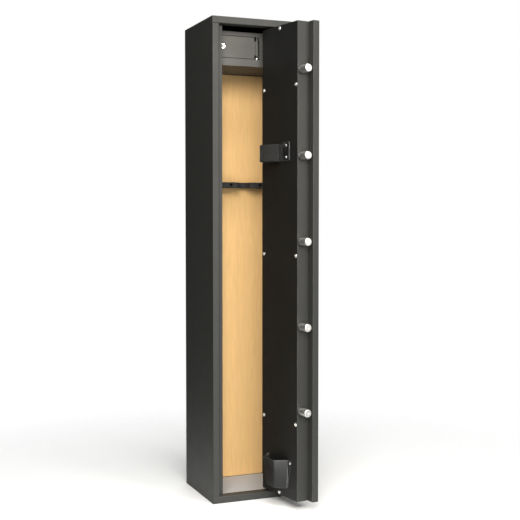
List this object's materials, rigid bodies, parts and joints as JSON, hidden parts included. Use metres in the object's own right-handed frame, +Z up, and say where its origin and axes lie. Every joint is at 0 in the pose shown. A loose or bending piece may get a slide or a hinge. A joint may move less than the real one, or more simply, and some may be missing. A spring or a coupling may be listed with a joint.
{
  "type": "gun safe",
  "caption": "Tall narrow steel long-gun safe with a pivot-hung door, round locking bolts, an inner locker, a barrel rack and a door-mounted muzzle pocket.",
  "frame": {"origin": "centre of the body's base footprint, on the surface it stands on", "axes": "+Z up, +Y from the door side towards the back, +X towards the hinge side"},
  "size_m": [0.3066, 0.4689, 1.5],
  "materials": {
    "body_paint": "fine textured powder coat, charcoal",
    "door_paint": "fine textured powder coat, charcoal",
    "cover_paint": "matt powder coat, near black",
    "locker_paint": "fine textured powder coat, mid grey",
    "bracket_paint": "matt powder coat, dark grey",
    "bare_steel": "machined and oiled",
    "chrome_plate": "bright plated",
    "zinc_fixings": "bright zinc plate",
    "bush_plastic": "black moulded plastic",
    "liner_board": "matt beige board",
    "floor_felt": "light grey felt",
    "rack_foam": "dense black foam",
    "webbing": "dark grey woven webbing"
  },
  "bodies": {
    "body": {"left_side": "body_paint", "right_side": "body_paint", "back_panel": "body_paint", "top_panel": "body_paint", "bottom_panel": "body_paint", "lower_pivot_block": "bare_steel", "upper_pivot_block": "bare_steel", "lower_pivot_pin": "bare_steel", "upper_pivot_pin": "bare_steel", "lower_thrust_collar": "bare_steel", "upper_spacer_collar": "bare_steel", "back_liner": "liner_board", "floor_mat": "floor_felt", "barrel_rack": "rack_foam", "rack_screws": "zinc_fixings", "locker_shell": "locker_paint", "locker_front": "locker_paint", "locker_knuckles": "locker_paint", "locker_hinge_pin": "chrome_plate"},
    "locker_leaf": {"locker_door": "locker_paint", "locker_lock_cylinder": "chrome_plate"},
    "locker_lock": {"locker_lock_plug": "chrome_plate", "locker_lock_cam": "bare_steel"},
    "door": {"door_outer_plate": "door_paint", "boltwork_casing": "door_paint", "inner_cover": "cover_paint", "cover_screws": "zinc_fixings", "lower_pivot_bush": "bush_plastic", "upper_pivot_bush": "bush_plastic", "hinge_side_dogs": "bare_steel", "bolt_guide_bushes": "bush_plastic", "lock_case": "bare_steel", "hard_plate": "bare_steel", "keyhole_escutcheon": "chrome_plate", "keyhole_cover_rivet": "chrome_plate", "handle_rose": "chrome_plate", "strap_bracket": "bracket_paint", "strap_rivets": "zinc_fixings", "barrel_strap": "webbing", "muzzle_pocket": "bracket_paint", "pocket_rivets": "zinc_fixings"},
    "boltwork": {"locking_bolt_1": "chrome_plate", "locking_bolt_2": "chrome_plate", "locking_bolt_3": "chrome_plate", "locking_bolt_4": "chrome_plate", "locking_bolt_5": "chrome_plate", "bolt_screws": "bare_steel", "carriage_bar": "bare_steel"},
    "handle": {"door_handle": "chrome_plate", "handle_spindle": "bare_steel", "drive_crank": "bare_steel"},
    "key": {"door_key": "chrome_plate"},
    "lock_bolt": {"lock_bolt": "bare_steel"},
    "keyhole_cover": {"keyhole_cover": "chrome_plate"}
  },
  "joints": [
    {"name": "door_swing", "type": "hinge", "parent": "body", "child": "door", "pos_m": [0.0874, -0.1191, 0.75], "axis": [0, 0, 1], "range_deg": [-99.3, 0]},
    {"name": "bolt_throw", "type": "slide", "parent": "door", "child": "boltwork", "axis": [0.1616, -0.9869, 0], "range_m": [-0.034, 0]},
    {"name": "handle_turn", "type": "hinge", "parent": "door", "child": "handle", "pos_m": [0.13493, -0.18721, 0.9], "axis": [-0.9869, -0.1616, 0], "range_deg": [0, 90]},
    {"name": "key_turn", "type": "hinge", "parent": "door", "child": "key", "pos_m": [0.13833, -0.20794, 0.738], "axis": [-0.9869, -0.1616, 0], "range_deg": [0, 90]},
    {"name": "lock_bolt_rise", "type": "slide", "parent": "door", "child": "lock_bolt", "axis": [0, 0, 1], "range_m": [0, 0.012]},
    {"name": "keyhole_cover_swing", "type": "hinge", "parent": "door", "child": "keyhole_cover", "pos_m": [0.12056, -0.21085, 0.757], "axis": [-0.9869, -0.1616, 0], "range_deg": [0, 90]},
    {"name": "locker_door_swing", "type": "hinge", "parent": "body", "child": "locker_leaf", "pos_m": [0.036, -0.0645, 1.421], "axis": [0, 0, 1], "range_deg": [0, 88]},
    {"name": "locker_lock_turn", "type": "hinge", "parent": "locker_leaf", "child": "locker_lock", "pos_m": [-0.0805, -0.065, 1.422], "axis": [0, -1, 0], "range_deg": [0, 90]}
  ],
  "couplings": [
    {"joint": "bolt_throw", "follows": "door_swing", "m_per_rad": 0.019618},
    {"joint": "handle_turn", "follows": "door_swing", "ratio": -0.90634},
    {"joint": "key_turn", "follows": "lock_bolt_rise", "rad_per_m": 130.9}
  ]
}
